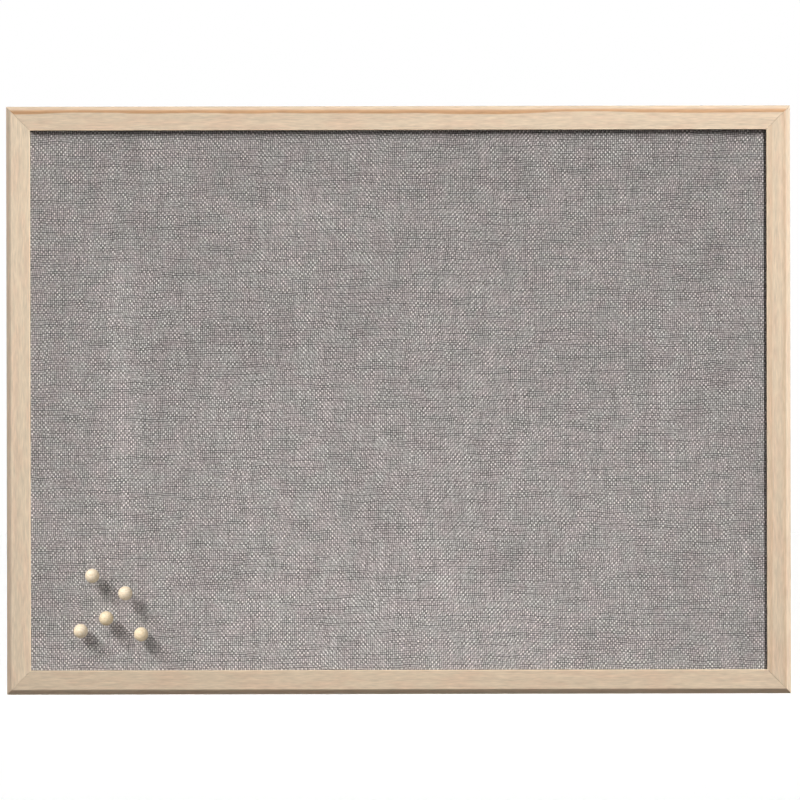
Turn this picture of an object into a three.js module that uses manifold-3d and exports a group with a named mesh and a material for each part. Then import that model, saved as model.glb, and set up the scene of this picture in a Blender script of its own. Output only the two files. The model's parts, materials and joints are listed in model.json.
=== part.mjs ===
// Framed fabric pin board with five ball-headed pins, in millimetres.
// +X is right, +Z is up and +Y runs back into the wall. The origin lies on the back plane of the
// frame, midway between the two wall hooks, at the height where the hooks carry the hanger rings.
import * as THREE from "three";
import { mergeVertices } from "three/addons/utils/BufferGeometryUtils.js";
import Module from "manifold-3d";

const wasm = await Module();
wasm.setup();

// Board and frame section
const boardWidth = 800;
const boardHeight = 600;
const railFace = 25;
const chamfer = 5.5;
const lipDepth = 4.5;
const rebateWidth = 8;
const backRecess = 2.8;
const mitreGap = 0.2;

// Covered panel that the frame holds
const clothThickness = 0.7;
const clothTurn = 25;
const coreThickness = 10;
const backThickness = 2.5;
const panelPlay = 0.75;
const seatGap = 0.2;

// V-shaped nails that pull each mitre together
const nailArm = 6;
const nailThickness = 0.6;
const nailDepth = 10;
const nailFirstInset = 8;
const nailStep = 6;
const nailsPerCorner = 2;
const nailSink = 0.3;
const pocketGap = 0.25;

// Flat steel points that keep the panel in the rebate
const pointWidth = 6;
const pointThickness = 0.5;
const pointBite = 7.5;
const pointCover = 6;
const pointTip = 3;
const pointsAcross = 4;
const pointsUp = 3;

// Hangers: a strap folded round the bar of a D-ring, held by one screw
const hookDrop = 60;
const strapWidth = 9;
const strapThickness = 0.8;
const strapFold = 7;
const strapTail = 5;
const ringWire = 2;
const ringReach = 12;
const ringCorner = 1.5;
const ringPlay = 0.25;
const ringSidePlay = 0.5;
const ringWallGap = 0.3;
const screwDiameter = 3;
const screwLength = 12;
const screwTip = 3;
const screwHeadDiameter = 6;
const screwHeadHeight = 1.8;
const screwHeadRim = 0.6;
const screwRingGap = 1;
const crossLength = 3.4;
const crossWidth = 0.9;
const crossDepth = 1;

// Pins: a wooden ball on a steel needle
const ballDiameter = 14.5;
const needleDiameter = 1.1;
const needleTip = 3;
const needleSocket = 8;
const needlePlay = 0.2;
const pinHomeGap = 0.3;
const tipCover = 0.6;

// Each pin's place from the lower left corner of the fabric, and how far its ball stands off
const pinPlaces = [
  { fromLeft: 63.9, fromBottom: 97.1, standOff: 6 },
  { fromLeft: 97.6, fromBottom: 79.5, standOff: 7.4 },
  { fromLeft: 77.9, fromBottom: 53.9, standOff: 4.8 },
  { fromLeft: 51.8, fromBottom: 40.9, standOff: 3.2 },
  { fromLeft: 113.1, fromBottom: 37.5, standOff: 3 },
];

// Fineness of round shapes
const arcSteps = 6;
const wireSides = 8;
const needleSides = 12;
const screwSides = 16;
const ballSides = 24;
const ballRings = 16;
const overcut = 1;

// Planes of the stack, from the front of the frame back to the wall plane at y = 0
const railDepth =
  lipDepth + 4 * seatGap + 2 * clothThickness + coreThickness + backThickness + backRecess;
const frontY = -railDepth;
const lipY = frontY + lipDepth;
const clothY = lipY + seatGap;
const coreY = clothY + clothThickness + seatGap;
const coreBackY = coreY + coreThickness;
const turnBackY = coreBackY + seatGap + clothThickness;
const backPanelY = turnBackY + seatGap;
const pointY = backPanelY + backThickness + seatGap;

// Sizes and heights that follow from the frame
const backFace = railFace - rebateWidth;
const sightWidth = boardWidth - 2 * railFace;
const sightHeight = boardHeight - 2 * railFace;
const panelWidth = boardWidth - 2 * (backFace + panelPlay);
const panelHeight = boardHeight - 2 * (backFace + panelPlay);
const coreWidth = panelWidth - 2 * (clothThickness + seatGap);
const coreHeight = panelHeight - 2 * (clothThickness + seatGap);
const boardZ = hookDrop - boardHeight / 2;

// Sizes that follow from the hanger's wire and strap
const wireRadius = ringWire / 2;
const loopInner = wireRadius + ringPlay;
const loopOuter = loopInner + strapThickness;
const barY = seatGap + loopOuter;
const barZ = wireRadius - ringReach;
const ringHalf = strapWidth / 2 + ringSidePlay + ringCorner;
const ringLean = Math.asin((barY - wireRadius - ringWallGap) / ringReach);
const screwDrop = ringReach + wireRadius + screwRingGap + screwHeadDiameter / 2;
const strapDrop = screwDrop + strapTail;
const strapBackY = 2 * (seatGap + strapThickness);
const hangerX = boardWidth / 2 - backFace / 2;

// Sizes that follow from the pins
const ballRadius = ballDiameter / 2;
const needleRadius = needleDiameter / 2;
const needleReach = pinHomeGap + clothThickness + seatGap + coreThickness - tipCover;
const needleHoleEnd = clothY + needleReach - pinHomeGap + seatGap;

const quarter = Math.PI / 2;
const xAxis = new THREE.Vector3(1, 0, 0);
const yAxis = new THREE.Vector3(0, 1, 0);
const zAxis = new THREE.Vector3(0, 0, 1);

const finishes = {
  pine: new THREE.MeshStandardMaterial({ color: "#dcc4a4", roughness: 0.55, metalness: 0 }),
  ballWood: new THREE.MeshStandardMaterial({ color: "#ead9b8", roughness: 0.45, metalness: 0 }),
  cloth: new THREE.MeshStandardMaterial({ color: "#9c9693", roughness: 0.95, metalness: 0 }),
  softboard: new THREE.MeshStandardMaterial({ color: "#a48a66", roughness: 0.95, metalness: 0 }),
  hardboard: new THREE.MeshStandardMaterial({ color: "#6f4d33", roughness: 0.7, metalness: 0 }),
  steel: new THREE.MeshStandardMaterial({ color: "#b9bcc0", roughness: 0.35, metalness: 1 }),
  needleSteel: new THREE.MeshStandardMaterial({ color: "#c8cacd", roughness: 0.2, metalness: 1 }),
};

// Turns a closed geometry into a solid that can be cut.
function solidOf(geometry) {
  const bare = geometry.clone();
  bare.deleteAttribute("normal");
  bare.deleteAttribute("uv");
  const merged = mergeVertices(bare);
  return new wasm.Manifold(
    new wasm.Mesh({
      numProp: 3,
      vertProperties: new Float32Array(merged.attributes.position.array),
      triVerts: new Uint32Array(merged.index.array),
    }),
  );
}

// Cuts every cutter out of a geometry and gives back the geometry that is left.
function cut(geometry, cutters) {
  let solid = solidOf(geometry);
  for (const cutter of cutters) {
    solid = solid.subtract(solidOf(cutter));
  }
  const mesh = solid.getMesh();
  const left = new THREE.BufferGeometry();
  left.setAttribute("position", new THREE.BufferAttribute(new Float32Array(mesh.vertProperties), 3));
  left.setIndex(new THREE.BufferAttribute(new Uint32Array(mesh.triVerts), 1));
  left.computeVertexNormals();
  return left;
}

function named(name, geometry, finish) {
  const mesh = new THREE.Mesh(geometry, finish);
  mesh.name = name;
  return mesh;
}

function outline(corners) {
  return new THREE.Shape(corners.map(([across, up]) => new THREE.Vector2(across, up)));
}

// A box between a front and a back plane, centred on the board or on the point given.
function slab(width, height, fromY, toY, x = 0, z = 0) {
  const box = new THREE.BoxGeometry(width, toY - fromY, height);
  return box.translate(x, (fromY + toY) / 2, z);
}

// An outline in the XZ plane, thickened forward from the plane y = 0.
function plate(shape, thickness) {
  const flat = new THREE.ExtrudeGeometry(shape, { depth: thickness, bevelEnabled: false });
  return flat.rotateX(quarter);
}

// A section with Y across and Z up, run along X and centred on x = 0.
function runAlongX(shape, length) {
  const settings = { depth: length, bevelEnabled: false, curveSegments: 2 * arcSteps };
  const bar = new THREE.ExtrudeGeometry(shape, settings);
  const turn = new THREE.Matrix4().makeBasis(yAxis, zAxis, xAxis);
  return bar.translate(0, 0, -length / 2).applyMatrix4(turn);
}

// A round hole or peg along Y between two planes.
function peg(radius, fromY, toY, sides, x, z) {
  const rod = new THREE.CylinderGeometry(radius, radius, toY - fromY, sides);
  return rod.translate(x, (fromY + toY) / 2, z);
}

// The radius at which a hole with flat sides still clears a round rod by the gap given.
function holeRadius(rodRadius, gap, sides) {
  return (rodRadius + gap) / Math.cos(Math.PI / sides);
}

// The rail's section: the outer edge is at z = 0 and the sight edge at z = -railFace.
function railSection() {
  return outline([
    [0, 0],
    [frontY + chamfer, 0],
    [frontY, -chamfer],
    [frontY, -railFace],
    [lipY, -railFace],
    [lipY, -backFace],
    [0, -backFace],
  ]);
}

// A length of the section whose ends are mitred, so each point draws in by its distance inward.
function mitredRail(length) {
  const rail = runAlongX(railSection(), length);
  const points = rail.attributes.position;
  const setBack = mitreGap / Math.SQRT2;
  for (let i = 0; i < points.count; i += 1) {
    const halfLength = length / 2 + points.getZ(i) - setBack;
    points.setX(i, Math.sign(points.getX(i)) * halfLength);
  }
  return rail;
}

// The V of a corner nail, with one arm along +X and one along +Z, grown all round by a gap.
function nailOutline(gap) {
  const thick = nailThickness + gap;
  const tip = nailArm + gap;
  return outline([
    [-gap, -gap],
    [tip, -gap],
    [tip, thick],
    [thick, thick],
    [thick, tip],
    [-gap, tip],
  ]);
}

function nailInset(index) {
  return nailFirstInset + index * nailStep;
}

// The slots that a rail needs for the corner nails at both of its ends.
function nailPockets(length) {
  const pockets = [];
  const depth = overcut + nailSink + nailDepth + pocketGap;
  for (let i = 0; i < nailsPerCorner; i += 1) {
    const inset = nailInset(i);
    for (const end of [1, -1]) {
      const pocket = plate(nailOutline(pocketGap), depth);
      if (end < 0) {
        pocket.rotateY(-quarter);
      }
      pockets.push(pocket.translate(end * (length / 2 - inset), overcut, -inset));
    }
  }
  return pockets;
}

// The places of the retaining points along a rail, spread evenly over its sight length.
function pointStations(count, sightLength) {
  return Array.from({ length: count }, (_, i) => ((i + 0.5) / count - 0.5) * sightLength);
}

// A retaining point: it covers the panel below z = 0 and bites into the wood above it.
function retainingPoint() {
  const half = pointWidth / 2;
  const shape = outline([
    [-half, -pointCover],
    [half, -pointCover],
    [half, pointBite - pointTip],
    [0, pointBite],
    [-half, pointBite - pointTip],
  ]);
  return plate(shape, pointThickness).translate(0, pointThickness, 0);
}

function pointPocket(x) {
  const top = pointBite + pocketGap;
  const bottom = -overcut;
  const back = pointY + pointThickness + pocketGap;
  const middle = (top + bottom) / 2 - backFace;
  return slab(pointWidth + 2 * pocketGap, top - bottom, pointY - pocketGap, back, x, middle);
}

// One side of the frame: the rail and the retaining points driven into it.
function frameSide(side) {
  const group = new THREE.Group();
  group.rotation.y = side.turn;
  group.position.set(side.x, 0, side.z);
  const stations = pointStations(side.points, side.length - 2 * railFace);
  const pockets = [...nailPockets(side.length), ...stations.map(pointPocket), ...side.bores];
  group.add(named(`rail_${side.name}`, cut(mitredRail(side.length), pockets), finishes.pine));
  stations.forEach((x, i) => {
    const point = named(`retaining_point_${side.name}_${i + 1}`, retainingPoint(), finishes.steel);
    point.position.set(x, pointY, -backFace);
    group.add(point);
  });
  return group;
}

// The pilot hole for a hanger's screw, at its place along a side rail.
function screwBore(alongRail) {
  const radius = holeRadius(screwDiameter / 2, pocketGap, screwSides);
  const endY = strapBackY + seatGap - screwLength - pocketGap;
  return peg(radius, endY, overcut, screwSides, alongRail, -backFace / 2);
}

function frame() {
  const group = new THREE.Group();
  const halfWidth = boardWidth / 2;
  const halfHeight = boardHeight / 2;
  const screwAlong = barZ - screwDrop - boardZ;
  const across = { length: boardWidth, points: pointsAcross, x: 0, bores: [] };
  const upright = { length: boardHeight, points: pointsUp, z: boardZ };
  const sides = [
    { ...across, name: "top", turn: 0, z: boardZ + halfHeight },
    { ...upright, name: "right", turn: quarter, x: halfWidth, bores: [screwBore(-screwAlong)] },
    { ...across, name: "bottom", turn: 2 * quarter, z: boardZ - halfHeight },
    { ...upright, name: "left", turn: -quarter, x: -halfWidth, bores: [screwBore(screwAlong)] },
  ];
  for (const side of sides) {
    group.add(frameSide(side));
  }
  return group;
}

// The nails of all four corners, each corner turned a quarter from the one before.
function cornerNails() {
  const group = new THREE.Group();
  const corners = [
    { name: "top_right", right: 1, up: 1, turn: 0 },
    { name: "bottom_right", right: 1, up: -1, turn: quarter },
    { name: "bottom_left", right: -1, up: -1, turn: 2 * quarter },
    { name: "top_left", right: -1, up: 1, turn: -quarter },
  ];
  for (const corner of corners) {
    for (let i = 0; i < nailsPerCorner; i += 1) {
      const inset = nailInset(i);
      const solid = plate(nailOutline(0), nailDepth);
      const nail = named(`corner_nail_${corner.name}_${i + 1}`, solid, finishes.steel);
      const x = corner.right * (boardWidth / 2 - inset);
      const z = boardZ + corner.up * (boardHeight / 2 - inset);
      nail.position.set(x, -nailSink, z);
      nail.rotation.y = corner.turn;
      group.add(nail);
    }
  }
  return group;
}

function pinX(pin) {
  return pin.fromLeft - sightWidth / 2;
}

function pinZ(pin) {
  return pin.fromBottom - sightHeight / 2;
}

// The holes that the needles pierce, from the front down to the depth of a pin pushed home.
function needleHoles() {
  const radius = holeRadius(needleRadius, needlePlay, needleSides);
  return pinPlaces.map((pin) =>
    peg(radius, clothY - overcut, needleHoleEnd, needleSides, pinX(pin), pinZ(pin)),
  );
}

// The fabric: a front sheet, turned round the core's edges and glued down behind it.
function fabricCover() {
  const wrap = slab(panelWidth, panelHeight, clothY, turnBackY);
  const inside = slab(
    panelWidth - 2 * clothThickness,
    panelHeight - 2 * clothThickness,
    clothY + clothThickness,
    turnBackY - clothThickness,
  );
  const edge = 2 * (clothThickness + clothTurn);
  const window = slab(panelWidth - edge, panelHeight - edge, coreY, turnBackY + overcut);
  return cut(wrap, [inside, window, ...needleHoles()]);
}

function coveredPanel() {
  const group = new THREE.Group();
  group.position.z = boardZ;
  const core = cut(slab(coreWidth, coreHeight, coreY, coreBackY), needleHoles());
  const back = slab(panelWidth, panelHeight, backPanelY, backPanelY + backThickness);
  group.add(named("fabric_cover", fabricCover(), finishes.cloth));
  group.add(named("pinning_core", core, finishes.softboard));
  group.add(named("back_panel", back, finishes.hardboard));
  return group;
}

// The strap's section round the ring's bar, whose axis is at z = 0.
function strapSection() {
  const shape = new THREE.Shape();
  const innerLeg = seatGap + strapThickness;
  const outerLeg = strapBackY - strapThickness;
  shape.moveTo(seatGap, -strapDrop);
  shape.lineTo(seatGap, 0);
  shape.absarc(barY, 0, loopOuter, Math.PI, 0, true);
  shape.lineTo(strapBackY, -strapFold);
  shape.lineTo(strapBackY, -strapDrop);
  shape.lineTo(outerLeg, -strapDrop);
  shape.lineTo(outerLeg, -strapFold);
  shape.lineTo(barY + loopInner, 0);
  shape.absarc(barY, 0, loopInner, 0, Math.PI, false);
  shape.lineTo(innerLeg, -strapDrop);
  return shape;
}

function hangerStrap() {
  const radius = holeRadius(screwDiameter / 2, pocketGap, screwSides);
  const hole = peg(radius, -overcut, strapBackY + overcut, screwSides, 0, -screwDrop);
  return cut(runAlongX(strapSection(), strapWidth), [hole]);
}

// The D-ring's centreline: a straight bar, two rounded corners, two sides and a half circle.
function ringCentreline() {
  const barEnd = ringHalf - ringCorner;
  const bowCentre = ringReach - ringHalf;
  const path = new THREE.Path();
  path.moveTo(-barEnd, 0);
  path.lineTo(barEnd, 0);
  path.absarc(barEnd, ringCorner, ringCorner, -quarter, 0, false);
  path.lineTo(ringHalf, bowCentre);
  path.absarc(0, bowCentre, ringHalf, 0, Math.PI, false);
  path.lineTo(-ringHalf, ringCorner);
  path.absarc(-barEnd, ringCorner, ringCorner, Math.PI, 3 * quarter, false);
  const points = path.getPoints(arcSteps);
  return points.slice(0, -1);
}

// A round wire along a closed line in the XZ plane.
function closedWire(line, radius) {
  const places = [];
  const faces = [];
  line.forEach((point, i) => {
    const before = line.at(i - 1);
    const after = line[(i + 1) % line.length];
    const out = new THREE.Vector2(after.y - before.y, before.x - after.x).normalize();
    for (let side = 0; side < wireSides; side += 1) {
      const turn = (2 * Math.PI * side) / wireSides;
      const reach = radius * Math.cos(turn);
      places.push(point.x + reach * out.x, radius * Math.sin(turn), point.y + reach * out.y);
      const here = i * wireSides;
      const next = ((i + 1) % line.length) * wireSides;
      const beside = (side + 1) % wireSides;
      faces.push(here + side, here + beside, next + beside);
      faces.push(here + side, next + beside, next + side);
    }
  });
  const wire = new THREE.BufferGeometry();
  wire.setAttribute("position", new THREE.Float32BufferAttribute(places, 3));
  wire.setIndex(faces);
  wire.computeVertexNormals();
  return wire;
}

// A wood screw along Y with its head's underside at y = 0, its point forward and a cross recess.
function hangerScrew() {
  const shank = screwDiameter / 2;
  const head = screwHeadDiameter / 2;
  const profile = new THREE.Path();
  profile.moveTo(0, -screwLength);
  profile.lineTo(shank, screwTip - screwLength);
  profile.lineTo(shank, 0);
  profile.lineTo(head, 0);
  profile.lineTo(head, screwHeadRim);
  profile.quadraticCurveTo(head, screwHeadHeight, 0, screwHeadHeight);
  const screw = new THREE.LatheGeometry(profile.getPoints(arcSteps), screwSides);
  const fromY = screwHeadHeight - crossDepth;
  const toY = screwHeadHeight + overcut;
  const slots = [
    slab(crossLength, crossWidth, fromY, toY),
    slab(crossWidth, crossLength, fromY, toY),
  ];
  return cut(screw, slots);
}

function hanger(side, x) {
  const group = new THREE.Group();
  group.position.set(x, 0, barZ);
  group.add(named(`hanger_strap_${side}`, hangerStrap(), finishes.steel));
  const ring = named(`hanger_ring_${side}`, closedWire(ringCentreline(), wireRadius), finishes.steel);
  ring.position.y = barY;
  ring.rotation.x = ringLean;
  group.add(ring);
  const screw = named(`hanger_screw_${side}`, hangerScrew(), finishes.steel);
  screw.position.set(0, strapBackY + seatGap, -screwDrop);
  group.add(screw);
  return group;
}

// A ball head round the origin, with the needle's socket in its rear.
function pinHead() {
  const ball = new THREE.SphereGeometry(ballRadius, ballSides, ballRings);
  const radius = holeRadius(needleRadius, needlePlay, needleSides);
  const socket = peg(radius, ballRadius - needleSocket, ballRadius + overcut, needleSides, 0, 0);
  return cut(ball, [socket]);
}

// A needle along Y, from its blunt end in the ball's socket to its point.
function pinNeedle() {
  const bluntY = ballRadius - needleSocket + needlePlay;
  const pointEnd = ballRadius + needleReach;
  const profile = [
    new THREE.Vector2(0, bluntY),
    new THREE.Vector2(needleRadius, bluntY),
    new THREE.Vector2(needleRadius, pointEnd - needleTip),
    new THREE.Vector2(0, pointEnd),
  ];
  return new THREE.LatheGeometry(profile, needleSides);
}

function pins() {
  const group = new THREE.Group();
  group.position.set(0, clothY, boardZ);
  pinPlaces.forEach((place, i) => {
    const pin = new THREE.Group();
    pin.position.set(pinX(place), -place.standOff - ballRadius, pinZ(place));
    pin.add(named(`pin_head_${i + 1}`, pinHead(), finishes.ballWood));
    pin.add(named(`pin_needle_${i + 1}`, pinNeedle(), finishes.needleSteel));
    group.add(pin);
  });
  return group;
}

const pinBoard = new THREE.Group();
pinBoard.add(frame());
pinBoard.add(cornerNails());
pinBoard.add(coveredPanel());
pinBoard.add(hanger("left", -hangerX));
pinBoard.add(hanger("right", hangerX));
pinBoard.add(pins());

export default pinBoard;
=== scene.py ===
"""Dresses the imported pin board: pine rails, woven cloth, wooden ball pins and steel hangers."""

import json
import math
from contextlib import contextmanager
from functools import partialmethod
from itertools import pairwise
from typing import NamedTuple

import bmesh
import bpy
from mathutils import Matrix, Vector


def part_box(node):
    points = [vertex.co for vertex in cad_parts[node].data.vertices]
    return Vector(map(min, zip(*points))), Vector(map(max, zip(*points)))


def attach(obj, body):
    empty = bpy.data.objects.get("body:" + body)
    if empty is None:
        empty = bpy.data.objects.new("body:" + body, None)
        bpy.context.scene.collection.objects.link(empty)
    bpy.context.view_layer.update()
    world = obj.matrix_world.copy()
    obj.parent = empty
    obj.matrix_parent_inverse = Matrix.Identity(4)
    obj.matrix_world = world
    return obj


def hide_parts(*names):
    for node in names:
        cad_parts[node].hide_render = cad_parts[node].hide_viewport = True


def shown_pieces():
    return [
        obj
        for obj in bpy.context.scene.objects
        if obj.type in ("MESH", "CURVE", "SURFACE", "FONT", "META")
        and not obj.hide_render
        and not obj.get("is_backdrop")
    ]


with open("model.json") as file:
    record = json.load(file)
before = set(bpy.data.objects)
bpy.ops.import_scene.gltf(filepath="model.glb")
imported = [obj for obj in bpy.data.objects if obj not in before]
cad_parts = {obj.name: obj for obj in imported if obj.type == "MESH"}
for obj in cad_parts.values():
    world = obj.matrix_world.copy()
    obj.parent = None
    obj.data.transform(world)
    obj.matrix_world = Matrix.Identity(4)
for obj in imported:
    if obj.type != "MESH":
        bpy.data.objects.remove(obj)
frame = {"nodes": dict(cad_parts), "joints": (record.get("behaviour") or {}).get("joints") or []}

bl_info = {
    "name": "Pin board",
    "version": (1, 0, 0),
    "blender": (4, 5, 0),
    "location": "View3D > Sidebar > Pin board",
    "description": "Models and finishes the pieces of a framed cloth pin board",
    "category": "Object",
}

MM = 0.001
QUARTER = math.pi / 2

# The frame's outer edges and planes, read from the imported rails
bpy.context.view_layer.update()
LEFT_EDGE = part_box("rail_left")[0].x
RIGHT_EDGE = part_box("rail_right")[1].x
TOP_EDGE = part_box("rail_top")[1].z
BOTTOM_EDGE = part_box("rail_bottom")[0].z
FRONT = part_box("rail_top")[0].y
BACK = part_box("rail_top")[1].y
RAIL_FACE = TOP_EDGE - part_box("rail_top")[0].z
MITRE_SETBACK = RIGHT_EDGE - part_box("rail_top")[1].x
BOARD_WIDTH = RIGHT_EDGE - LEFT_EDGE
BOARD_HEIGHT = TOP_EDGE - BOTTOM_EDGE
MIDDLE_X = (LEFT_EDGE + RIGHT_EDGE) / 2
MIDDLE_Z = (TOP_EDGE + BOTTOM_EDGE) / 2

# The covered panel
CLOTH_LOW, CLOTH_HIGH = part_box("fabric_cover")
CORE_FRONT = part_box("pinning_core")[0].y

PIN_NUMBERS = range(1, 6)
HANGER_SIDES = ("left", "right")
OVERCUT = 1 * MM
MERGE = 0.001 * MM
FLAG_THICKNESS = 0.1 * MM
LAMP_DISTANCE = 3
CLOSE = 0.01 * MM
X_AXIS, Y_AXIS, Z_AXIS = range(3)
WHITE = (1, 1, 1, 1)


class Side(NamedTuple):
    """One rail: its place, and how its plank was cut from the log, its rings turned by degrees."""

    name: str
    turn: float
    x: float
    z: float
    length: float
    ring_turn: float
    ring_width: float
    arris_year: float
    late_share: float
    tone: float


SIDES = (
    Side("top", 0, MIDDLE_X, TOP_EDGE, BOARD_WIDTH, -70, 10 * MM, 0.88, 1.0, 0.95),
    Side("right", QUARTER, RIGHT_EDGE, MIDDLE_Z, BOARD_HEIGHT, -178, 14 * MM, 0.95, 0.3, 0.95),
    Side("bottom", 2 * QUARTER, MIDDLE_X, BOTTOM_EDGE, BOARD_WIDTH, -80, 14 * MM, 0.1, 0.3, 0.95),
    Side("left", -QUARTER, LEFT_EDGE, MIDDLE_Z, BOARD_HEIGHT, -75, 12 * MM, 0.15, 0.25, 1.07),
)


def linear(level):
    """A display level from 0 to 255 as the linear value that renders as it."""
    share = level / 255
    if share <= 0.04045:
        return share / 12.92
    return ((share + 0.055) / 1.055) ** 2.4


def paint(red, green, blue):
    return linear(red), linear(green), linear(blue)


def length(description, default):
    return bpy.props.FloatProperty(
        description=description, default=default, unit="LENGTH", precision=5
    )


def amount(description, default):
    return bpy.props.FloatProperty(description=description, default=default, min=0)


def angle(description, degrees):
    return bpy.props.FloatProperty(
        description=description, default=math.radians(degrees), subtype="ANGLE"
    )


def colour(description, red, green, blue):
    return bpy.props.FloatVectorProperty(
        description=description, default=paint(red, green, blue), min=0, max=1, subtype="COLOR"
    )


class TimberSettings(bpy.types.PropertyGroup):
    """Section and colours of the pine rails."""

    chamfer: length("Width of the sloped outer edge on each face", 5.5 * MM)
    lip_depth: length("Thickness of the lip in front of the cloth", 4.5 * MM)
    rebate_width: length("How far the lip covers the panel", 8 * MM)
    arris_round: length("Radius of the sanded edges", 0.6 * MM)
    pocket_gap: length("Room round the nails, points and screws", 0.25 * MM)
    pale_wood: colour("Spring growth", 222, 202, 176)
    late_wood: colour("Autumn growth", 198, 154, 113)
    pink_wood: colour("Warm patches", 222, 197, 171)


class ClothSettings(bpy.types.PropertyGroup):
    """Weave, folds and colours of the stretched cloth."""

    thickness: length("Thickness of the cloth", 0.7 * MM)
    turn_in: length("Width of cloth glued behind the core", 25 * MM)
    cell: length("Size of the mesh cells", 4 * MM)
    fold_round: length("Radius of the folds at the core's edges", 0.8 * MM)
    crease_height: length("How far the pressed creases stand proud", 0.4 * MM)
    crease_width: length("Half width of a pressed crease", 10 * MM)
    wave_height: length("How far the cloth swells between creases", 0.12 * MM)
    skew_middle: length("Where the weave's lean turns over", 12 * MM)
    skew_turn: length("Half width of that turn", 25 * MM)
    skew_reach: length("How far the lean lasts either side", 120 * MM)
    warp_pitch: length("Spacing of the upright yarns", 2.04 * MM)
    weft_pitch: length("Spacing of the level yarns", 2.29 * MM)
    pale_yarn: colour("Upright yarn", 208, 202, 199)
    dark_yarn: colour("Level yarn", 163, 157, 154)
    # Painted shade for the depth between the yarns, not a yarn's colour
    painted_gap_shade: colour("Depth between the yarns", 84, 78, 77)


class PinSettings(bpy.types.PropertyGroup):
    """Sizes and colours of the ball pins."""

    socket_depth: length("How far the needle goes into the ball", 8 * MM)
    needle_point: length("Length of the needle's taper", 3 * MM)
    pale_ball: colour("Wood of the paler balls", 226, 211, 188)
    warm_ball: colour("Wood of the warmer balls", 219, 197, 158)
    dark_ball: colour("Grain of the balls", 198, 168, 122)
    needle_steel: colour("Bright steel of the needles", 206, 208, 211)


class HangerSettings(bpy.types.PropertyGroup):
    """Sizes and colours of the hangers and the small fixings."""

    strap_thickness: length("Thickness of the strap", 0.8 * MM)
    strap_fold: length("Where the outer leg meets the inner one", 7 * MM)
    strap_corner: length("Radius of the strap's end corners", 2 * MM)
    leg_gap: length("Room between the pieces of a hanger", 0.2 * MM)
    wire: length("Diameter of the ring's wire", 2 * MM)
    ring_corner: length("Radius of the ring's lower bends", 1.5 * MM)
    ring_reach: length("From the bar to the top of the bow", 12 * MM)
    screw_shank: length("Diameter of the screw", 3 * MM)
    screw_taper: length("Length of the screw's point", 3 * MM)
    head_height: length("Height of the screw's head", 1.8 * MM)
    head_rim: length("Height of the head's straight rim", 0.6 * MM)
    cross_length: length("Span of the cross recess", 3.4 * MM)
    cross_width: length("Width of the cross recess", 0.9 * MM)
    cross_depth: length("Depth of the cross recess", 1 * MM)
    zinc: colour("Zinc plate on the hangers", 198, 200, 204)
    steel: colour("Plain steel of nails and points", 178, 180, 184)


class PanelSettings(bpy.types.PropertyGroup):
    """Colours of the panel behind the cloth."""

    screen_pitch: length("Spacing of the pressed screen on the back", 1.4 * MM)
    hardboard: colour("Pressed fibre back", 112, 78, 52)
    hardboard_dark: colour("Dark fibres in the back", 78, 52, 34)
    softboard: colour("Fibre core", 166, 140, 104)
    softboard_dark: colour("Dark fibres in the core", 128, 102, 72)


class StageSettings(bpy.types.PropertyGroup):
    """Camera, lamps and floor."""

    camera_distance: length("From the frame's front to the camera", 2.5)
    camera_side: length("How far right of the middle the camera stands", 1.5 * MM)
    camera_lens: amount("Focal length in millimetres", 110.5)
    camera_roll: angle("How far the camera leans to the right", 0.11)
    floor_size: length("Width of the floor", 6)
    floor_shade: colour("Pale floor", 236, 236, 236)
    floor_bounce: colour("Floor as the object's own light meets it", 120, 120, 120)
    floor_glow: amount("Light added so that the bare floor is white", 0.29)
    ambient: amount("Even light from all round", 0.08)
    frame_fill: amount("Weak lamp on the frame and pins from below", 0.18)
    key_distance: length("From the board to the frame's lamp", 4.3)
    frame_key: amount("Watts of the lamp on the frame", 205)
    side_key: amount("Two low lamps on the frame's sloped edges", 1.0)
    cloth_key: amount("Lamp on the cloth, from the frame lamp's side", 0.78)
    cloth_fill: amount("Watts of the lamp below the cloth", 0.62)
    high_pin_key: amount("Lamp that throws the pins' short shadows", 1.33)
    low_pin_key: amount("Lamp that throws the pins' long shadows", 2.5)
    pin_fill: amount("Weak lamp on the pins from the lower left", 0.3)
    floor_key: amount("Lamp on the floor, straight before the board", 3.4)
    back_key: amount("Lamp behind the board", 2.4)
    flag_width: length("Width of a hidden card that shades the cloth by the right rail", 2.4 * MM)
    flag_height: length("How far that card stands off the cloth", 0.15 * MM)
    pin_spread: angle("Apparent size of the two lamps that throw the pins' shadows", 13)
    key_spread: angle("Apparent size of the other lamps", 12)


class PinBoardSettings(bpy.types.PropertyGroup):
    """All that can be changed on the pin board."""

    timber: bpy.props.PointerProperty(type=TimberSettings)
    cloth: bpy.props.PointerProperty(type=ClothSettings)
    pins: bpy.props.PointerProperty(type=PinSettings)
    hangers: bpy.props.PointerProperty(type=HangerSettings)
    panel: bpy.props.PointerProperty(type=PanelSettings)
    stage: bpy.props.PointerProperty(type=StageSettings)


# Modelling by hand: selection, edit mode, modifiers


def activate(piece):
    """Selects one piece alone."""
    bpy.ops.object.select_all(action="DESELECT")
    piece.select_set(True)
    bpy.context.view_layer.objects.active = piece


def settle(name):
    """Names the piece just made and moves its place, turn and scale into its mesh."""
    piece = bpy.context.active_object
    piece.name = name
    piece.data.name = name
    activate(piece)
    bpy.ops.object.transform_apply(location=True, rotation=True, scale=True)
    return piece


def put(piece, place, turn=(0, 0, 0)):
    """Turns a piece, moves it and leaves it settled there."""
    activate(piece)
    piece.rotation_euler = turn
    piece.location = place
    bpy.ops.object.transform_apply(location=True, rotation=True, scale=True)
    return piece


def new_block(name, low, high):
    bpy.ops.mesh.primitive_cube_add(size=1, location=(low + high) / 2)
    bpy.context.active_object.scale = high - low
    return settle(name)


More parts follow.
